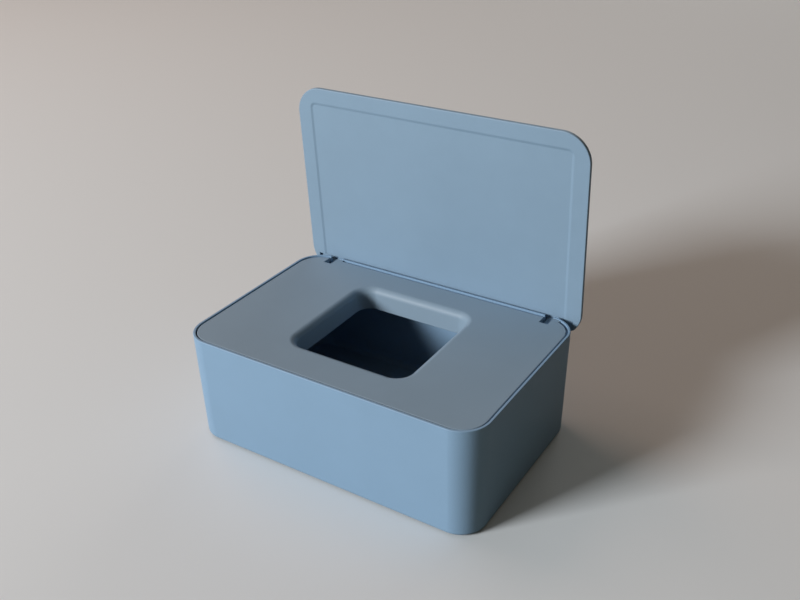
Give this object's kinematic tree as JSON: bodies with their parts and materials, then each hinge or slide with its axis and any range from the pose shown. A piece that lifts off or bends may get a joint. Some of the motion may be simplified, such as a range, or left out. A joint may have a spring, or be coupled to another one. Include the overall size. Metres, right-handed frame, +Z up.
{
  "type": "countertop wipes dispenser",
  "caption": "Rounded rectangular countertop wipes box with a drop-in cover, a square dispensing throat and a flat flip-up lid on hinge arms, shown open.",
  "frame": {"origin": "on the worktop under the middle of the object's outline seen from above, with the lid open", "axes": "+X to the right along the width, +Y towards the back where the lid stands, +Z up"},
  "size_m": [0.185, 0.127, 0.1772],
  "materials": {
    "tub_plastic": "fine matte moulded plastic, dusty blue-grey",
    "cover_plastic": "fine matte moulded plastic, dusty blue-grey",
    "lid_plastic": "fine matte moulded plastic, dusty blue-grey",
    "pin_steel": "drawn wire",
    "foot_rubber": "matte dark grey non-slip rubber"
  },
  "bodies": {
    "tub": {"tub": "tub_plastic", "foot_front_left": "foot_rubber", "foot_front_right": "foot_rubber", "foot_back_left": "foot_rubber", "foot_back_right": "foot_rubber"},
    "cover": {"cover": "cover_plastic", "hinge_pin_left": "pin_steel", "hinge_pin_right": "pin_steel"},
    "lid": {"lid": "lid_plastic"}
  },
  "joints": [
    {"name": "cover_lift", "type": "slide", "parent": "tub", "child": "cover", "axis": [0, 0, 1], "range_m": [0, 0.04]},
    {"name": "lid_hinge", "type": "hinge", "parent": "cover", "child": "lid", "pos_m": [0, 0.05319, 0.0602], "axis": [1, 0, 0], "range_deg": [0, 87]}
  ]
}
